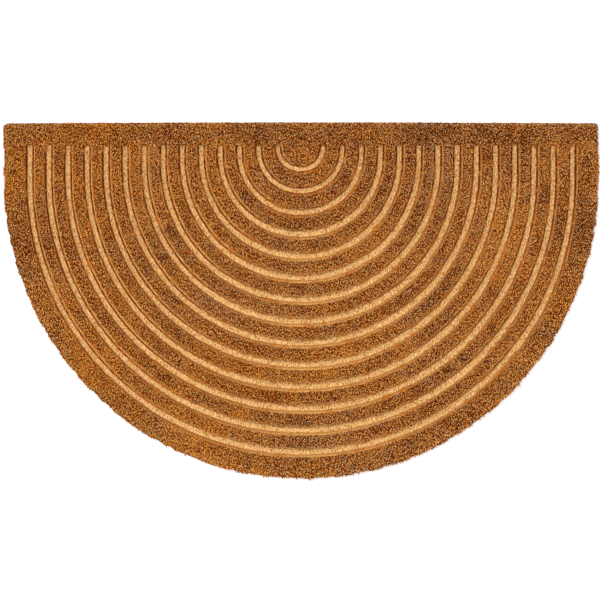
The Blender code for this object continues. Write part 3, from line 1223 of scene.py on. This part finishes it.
def between(tree, value, rise, fall):
    """1 where a value lies between a rise and a fall, each given by its two ends, and 0 outside."""
    return math_node(tree, "MULTIPLY", spread(tree, value, *rise), spread(tree, value, *fall, 1.0, 0.0))


def noise(tree, place, scale, detail, roughness):
    """Random grain, finer for a larger scale."""
    inputs = {"Vector": place, "Scale": scale, "Detail": detail, "Roughness": roughness}
    return add(tree, "TexNoise", inputs).outputs["Fac"]


def attribute(tree, name):
    """A value that the mesh carries."""
    return add(tree, "Attribute", attribute_name=name).outputs["Fac"]


def tinted(colour, *factors):
    """A colour with its red, green and blue made stronger or weaker."""
    return (*(min(1, part * factor) for part, factor in zip(colour[:3], factors)), 1.0)


def three_stops(tree, value, colour, darker, lighter, middle):
    """A ramp from a darker form of a colour to a lighter one, with the colour itself between."""
    stops = [(0.0, tinted(colour, *darker)), (middle, colour), (1.0, tinted(colour, *lighter))]
    return ramp(tree, value, stops)


def coir_tone_group(colours):
    """Colour and roughness of coir from how light and how ochre it is. Built once."""
    name = "Coir tone"
    if name in bpy.data.node_groups:
        return bpy.data.node_groups[name]
    group = bpy.data.node_groups.new(name, "ShaderNodeTree")
    for label, way, kind in (
        ("Tone", "INPUT", "NodeSocketFloat"),
        ("Hue", "INPUT", "NodeSocketFloat"),
        ("Color", "OUTPUT", "NodeSocketColor"),
        ("Roughness", "OUTPUT", "NodeSocketFloat"),
    ):
        group.interface.new_socket(label, in_out=way, socket_type=kind)
    entry = group.nodes.new("NodeGroupInput")
    leave = group.nodes.new("NodeGroupOutput")
    tone = ramp(group, entry.outputs["Tone"], [
        (0.0, colours.shadow),
        (0.28, colours.dark),
        (0.52, colours.middle),
        (0.76, colours.light),
        (1.0, colours.pale),
    ])
    tint = ramp(group, entry.outputs["Hue"], [
        (0.0, (0.81, 0.82, 0.86, 1.0)),
        (0.5, (0.95, 0.835, 0.50, 1.0)),
        (1.0, (1.0, 0.74, 0.22, 1.0)),
    ])
    feed(group, leave, {
        "Color": mixed(group, 1.0, tone, tint, "MULTIPLY"),
        "Roughness": spread(group, entry.outputs["Tone"], 0.0, 1.0, 0.88, 0.62),
    })
    return group


def coir_tone(tree, colours, tone, hue):
    """The coir's colour and roughness, placed in a material."""
    node = add(tree, "Group", {"Tone": tone, "Hue": hue}, node_tree=coir_tone_group(colours))
    return node.outputs["Color"], node.outputs["Roughness"]


def new_material(name):
    """An empty material and its shader, ready to be linked."""
    material = bpy.data.materials.new(name)
    material.use_nodes = True
    tree = material.node_tree
    tree.nodes.clear()
    shader = add(tree, "BsdfPrincipled")
    add(tree, "OutputMaterial", {"Surface": shader.outputs["BSDF"]})
    return material, tree, shader


def fibre_material(colours):
    """Coir fibre, lighter and darker by its own map. Shared by all the fibre pieces."""
    name = "coir_fibre"
    if name in bpy.data.materials:
        return bpy.data.materials[name]
    material, tree, shader = new_material(name)
    place = add(tree, "UVMap", uv_map="OFBake").outputs["UV"]
    parts = add(tree, "SeparateXYZ", {"Vector": place})
    colour, roughness = coir_tone(tree, colours, parts.outputs["X"], parts.outputs["Y"])
    feed(tree, shader, {"Base Color": colour, "Roughness": roughness, "Specular IOR Level": 0.12})
    return material


def floor_colour(tree, colours, fibrous, speck):
    """Pressed tan coir with a few darker specks."""
    floor = three_stops(
        tree,
        spread(tree, fibrous, 0.89, 1.11),
        colours.pressed,
        darker=(0.44, 0.29, 0.12),
        lighter=(1.10, 1.33, 1.80),
        middle=0.45,
    )
    return mixed(tree, spread(tree, speck, 0.62, 0.70, 0.0, 0.55), floor, colours.shoulder)


def slope_colour(tree, colours, fibrous):
    """Coir combed down a slope."""
    return three_stops(
        tree,
        spread(tree, fibrous, 0.75, 1.25),
        colours.shoulder,
        darker=(0.62, 0.48, 0.25),
        lighter=(1.2, 1.35, 1.5),
        middle=0.5,
    )


def ground_material(colours):
    """The mat under its fibres: pressed tan floors, combed slopes, and painted shade in the crevices and
    deep in the pile.
    """
    material, tree, shader = new_material("coir_ground")
    place = add(tree, "TexCoord").outputs["Object"]
    lie = add(tree, "Mapping", {"Vector": place, "Scale": (1.0, 0.22, 1.0)}).outputs["Vector"]
    uneven = noise(tree, place, 240, 3, 0.6)
    grain = noise(tree, place, 640, 3, 0.7)
    streak = noise(tree, lie, 1100, 2, 0.6)
    patch = noise(tree, place, 38, 3, 0.6)
    speck = noise(tree, place, 520, 2, 0.7)
    crease_and_shade = attribute(tree, "crease_and_shade")
    wander = spread(tree, uneven, 0.3, 0.7, -0.5 * MM, 0.5 * MM)
    distance = math_node(tree, "ADD", attribute(tree, "groove_distance"), wander)
    into_pile = math_node(tree, "SUBTRACT", distance, attribute(tree, "pile_start"))
    fibrous = math_node(tree, "ADD", grain, streak)

    # Deep in the pile the ground is painted dark brown: painted shade under the fibres.
    deep, _ = coir_tone(
        tree,
        colours,
        tone=spread(tree, grain, 0.3, 0.7, 0.0, 0.34),
        hue=spread(tree, patch, 0.3, 0.7, 0.2, 0.8),
    )
    floor = floor_colour(tree, colours, fibrous, speck)
    slope = slope_colour(tree, colours, fibrous)
    # The combed colour shows on open slopes by how combed they are, which by bearing also paints lit
    # slopes lighter and shaded ones with the darker deep-pile colour.
    before_pile = spread(tree, into_pile, 0.6 * MM, 1.8 * MM, 1.0, 0.0)
    on_slope = math_node(tree, "MULTIPLY", attribute(tree, "combed"), before_pile)
    on_floor = spread(tree, distance, 1.8 * MM, -0.1 * MM)
    colour = mixed(tree, on_slope, deep, slope)
    colour = mixed(tree, on_floor, colour, floor)
    # Painted shade at the creased foot of each slope: a warm brown band, and within it a dark line where
    # shade falls in the crevice.
    for dark, rise, fall in (
        (colours.crease_and_shade, (-0.9 * MM, -0.5 * MM), (1.6 * MM, 2.1 * MM)),
        (colours.crevice, (-0.4 * MM, -0.1 * MM), (1.3 * MM, 1.75 * MM)),
    ):
        crease_shade_mask = math_node(tree, "MULTIPLY", between(tree, distance, rise, fall), crease_and_shade)
        colour = mixed(tree, crease_shade_mask, colour, dark)
    height = math_node(tree, "MULTIPLY_ADD", streak, 0.6, grain)
    bump = add(tree, "Bump", {"Strength": 0.55, "Distance": 0.4 * MM, "Height": height})
    feed(tree, shader, {
        "Base Color": colour,
        "Roughness": spread(tree, streak, 0.3, 0.7, 0.72, 0.92),
        "Normal": bump.outputs["Normal"],
        "Specular IOR Level": 0.25,
    })
    return material


def underside_material(colours):
    """A dull rubbery coat with a fine even grain."""
    material, tree, shader = new_material("underside_coat")
    place = add(tree, "TexCoord").outputs["Object"]
    grain = noise(tree, place, 620, 3, 0.6)
    patch = noise(tree, place, 24, 4, 0.55)
    value = spread(tree, math_node(tree, "ADD", grain, patch), 0.7, 1.3)
    darker = tinted(colours.underside, 0.72, 0.72, 0.72)
    lighter = tinted(colours.underside, 1.3, 1.3, 1.3)
    bump = add(tree, "Bump", {"Strength": 0.6, "Distance": 0.6 * MM, "Height": grain})
    feed(tree, shader, {
        "Base Color": ramp(tree, value, [(0.0, darker), (1.0, lighter)]),
        "Roughness": spread(tree, patch, 0.3, 0.7, 0.62, 0.82),
        "Normal": bump.outputs["Normal"],
    })
    return material


def floor_material(colours):
    """A plain pale floor that barely takes a shadow."""
    material, tree, shader = new_material("studio_floor")
    feed(tree, shader, {
        "Base Color": colours.floor,
        "Roughness": 0.9,
        "Emission Color": WHITE,
        "Emission Strength": FLOOR_GLOW,
    })
    return material


# The stage.


def add_light(name, strength, spread_angle, azimuth, elevation):
    """A far lamp that shines on the mat from a bearing and a height, both in degrees."""
    light = bpy.data.lights.new(name, "SUN")
    light.energy = strength
    light.angle = math.radians(spread_angle)
    azimuth, elevation = math.radians(azimuth), math.radians(elevation)
    toward = Vector((
        math.cos(azimuth) * math.cos(elevation),
        math.sin(azimuth) * math.cos(elevation),
        math.sin(elevation),
    ))
    new_object(name, light).rotation_euler = toward.to_track_quat("Z", "Y").to_euler()


def studio_world():
    """Even light from all round, in front of a nearly white backdrop."""
    world = bpy.data.worlds.new("studio_light")
    world.use_nodes = True
    tree = world.node_tree
    tree.nodes.clear()
    seen = add(tree, "LightPath").outputs["Is Camera Ray"]
    light = add(tree, "Background", {"Color": WHITE, "Strength": AMBIENT_STRENGTH})
    backdrop = add(tree, "Background", {"Color": WHITE, "Strength": BACKDROP_STRENGTH})
    inputs = {0: seen, 1: light.outputs["Background"], 2: backdrop.outputs["Background"]}
    choice = add(tree, "MixShader", inputs)
    add(tree, "OutputWorld", {"Surface": choice.outputs["Shader"]})
    return world


def add_camera():
    """A camera that looks straight down at the mat."""
    data = bpy.data.cameras.new("camera")
    data.lens = CAMERA_LENS
    data.clip_end = CAMERA_RANGE
    camera = new_object("camera", data)
    camera.location = CAMERA_PLACE
    return camera


# Operators, one for each piece or group of like pieces.


class DOORMAT_OT_ground(bpy.types.Operator):
    """Build the body of the mat with its pressed grooves"""

    bl_idname = "doormat.ground"
    bl_label = "Mat ground"

    def execute(self, context):
        settings = context.scene.doormat
        mesh = build_ground_mesh(settings.sizes, settings.pile.seed)
        ground = new_piece("mat_ground", mesh, ground_material(settings.colours))
        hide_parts("mat")
        return {"FINISHED"}


class DOORMAT_OT_pile(bpy.types.Operator):
    """Build the standing fibres of the pile"""

    bl_idname = "doormat.pile"
    bl_label = "Standing pile"

    def execute(self, context):
        settings = context.scene.doormat
        sizes, pile = settings.sizes, settings.pile
        rng = np.random.default_rng(pile.seed)
        tufts = standing_fibres(sizes, pile, True, pile.spacing, rng)
        thin = standing_fibres(sizes, pile, False, pile.spacing * THIN_SPREAD, rng)
        fibres = {key: np.concatenate([tufts[key], thin[key]]) for key in tufts}
        radii, drops, _ = groove_lines(sizes)
        x, y, nearest = fibres["root"][:, 0], fibres["root"][:, 1], fibres["nearest"]
        in_band = behind_grooves(y, sizes)
        below = np.minimum(y - (CAD_HIGH.y - drops[-1]), 0)
        in_border = ~in_band & (np.hypot(x, below) > radii[-1])
        parts = {"pile_band": in_band, "pile_border": in_border}
        for name, (first, last) in RIDGE_PARTS.items():
            parts[name] = ~in_band & ~in_border & (nearest >= first) & (nearest <= last)
        for name, part in parts.items():
            chosen = {key: values[part] for key, values in fibres.items()}
            mesh = spikes(name, chosen, rng)
            new_piece(name, mesh, fibre_material(settings.colours))
        return {"FINISHED"}


class DOORMAT_OT_grooves(bpy.types.Operator):
    """Build the fibres combed down the slopes and pressed onto the floors of the grooves"""

    bl_idname = "doormat.grooves"
    bl_label = "Groove fibres"

    def execute(self, context):
        settings = context.scene.doormat
        sizes, pile = settings.sizes, settings.pile
        rng = np.random.default_rng(pile.seed + GROOVES_SEED)
        combed = combed_fibres(sizes, pile, rng)
        smeared = smeared_fibres(sizes, pile, rng)
        combed = {key: np.concatenate([combed[key], smeared[key]]) for key in combed}
        pressed = pressed_fibres(sizes, rng)
        for name, fibres in (("combed_fibres", combed), ("pressed_fibres", pressed)):
            new_piece(name, spikes(name, fibres, rng), fibre_material(settings.colours))
        return {"FINISHED"}


class DOORMAT_OT_sides(bpy.types.Operator):
    """Build the fibres at the mat's cut sides"""

    bl_idname = "doormat.sides"
    bl_label = "Side fibres"

    def execute(self, context):
        settings = context.scene.doormat
        rng = np.random.default_rng(settings.pile.seed + SIDES_SEED)
        fibres = side_fibres(settings.sizes, settings.pile, rng)
        mesh = spikes("side_fibres", fibres, rng)
        new_piece("side_fibres", mesh, fibre_material(settings.colours))
        return {"FINISHED"}


class DOORMAT_OT_strays(bpy.types.Operator):
    """Build the loose fibres on the pile and at its edge"""

    bl_idname = "doormat.strays"
    bl_label = "Stray fibres"

    def execute(self, context):
        settings = context.scene.doormat
        rng = np.random.default_rng(settings.pile.seed + STRAYS_SEED)
        mesh = stray_mesh("stray_fibres", settings.sizes, settings.pile, rng)
        new_piece("stray_fibres", mesh, fibre_material(settings.colours))
        return {"FINISHED"}


class DOORMAT_OT_underside(bpy.types.Operator):
    """Build the plain coat under the mat"""

    bl_idname = "doormat.underside"
    bl_label = "Underside coat"

    def execute(self, context):
        settings = context.scene.doormat
        mesh = build_underside_mesh(settings.sizes)
        new_piece("underside_coat", mesh, underside_material(settings.colours))
        return {"FINISHED"}


class DOORMAT_OT_cloth(bpy.types.Operator):
    """A last step for the laid mat, which does nothing"""

    bl_idname = "doormat.cloth"
    bl_label = "Laid mat"

    def execute(self, context):
        return {"FINISHED"}


class DOORMAT_OT_stage(bpy.types.Operator):
    """Set up the floor, the lights and the camera"""

    bl_idname = "doormat.stage"
    bl_label = "Studio stage"

    def execute(self, context):
        scene = context.scene
        mesh = bmesh.new()
        bmesh.ops.create_grid(mesh, x_segments=1, y_segments=1, size=STUDIO_REACH)
        floor = new_object("studio_floor", finished_mesh("studio_floor", mesh))
        floor.data.materials.append(floor_material(scene.doormat.colours))
        for light in LIGHTS:
            add_light(*light)
        scene.world = studio_world()
        scene.camera = add_camera()
        scene.view_settings.view_transform = "Standard"
        return {"FINISHED"}


OPERATORS = (
    DOORMAT_OT_ground,
    DOORMAT_OT_pile,
    DOORMAT_OT_grooves,
    DOORMAT_OT_sides,
    DOORMAT_OT_strays,
    DOORMAT_OT_underside,
    DOORMAT_OT_cloth,
    DOORMAT_OT_stage,
)


class DOORMAT_PT_panel(bpy.types.Panel):
    """Lists the doormat's sizes, colours and building steps"""

    bl_label = "Half-round coir doormat"
    bl_idname = "DOORMAT_PT_panel"
    bl_space_type = "VIEW_3D"
    bl_region_type = "UI"
    bl_category = "Doormat"

    def draw(self, context):
        settings = context.scene.doormat
        for group in (settings.sizes, settings.pile, settings.colours):
            box = self.layout.box()
            for name in group.__annotations__:
                box.prop(group, name)
        for operator in OPERATORS:
            self.layout.operator(operator.bl_idname)


CLASSES = (DoormatSizes, DoormatPile, DoormatColours, DoormatSettings, *OPERATORS, DOORMAT_PT_panel)


def register():
    for cls in CLASSES:
        bpy.utils.register_class(cls)
    bpy.types.Scene.doormat = PointerProperty(type=DoormatSettings)


def unregister():
    del bpy.types.Scene.doormat
    for cls in reversed(CLASSES):
        bpy.utils.unregister_class(cls)


def main():
    register()
    bpy.ops.doormat.ground()
    bpy.ops.doormat.pile()
    bpy.ops.doormat.grooves()
    bpy.ops.doormat.sides()
    bpy.ops.doormat.strays()
    bpy.ops.doormat.underside()
    bpy.ops.doormat.cloth()
    bpy.ops.doormat.stage()


if __name__ == "__main__":
    main()
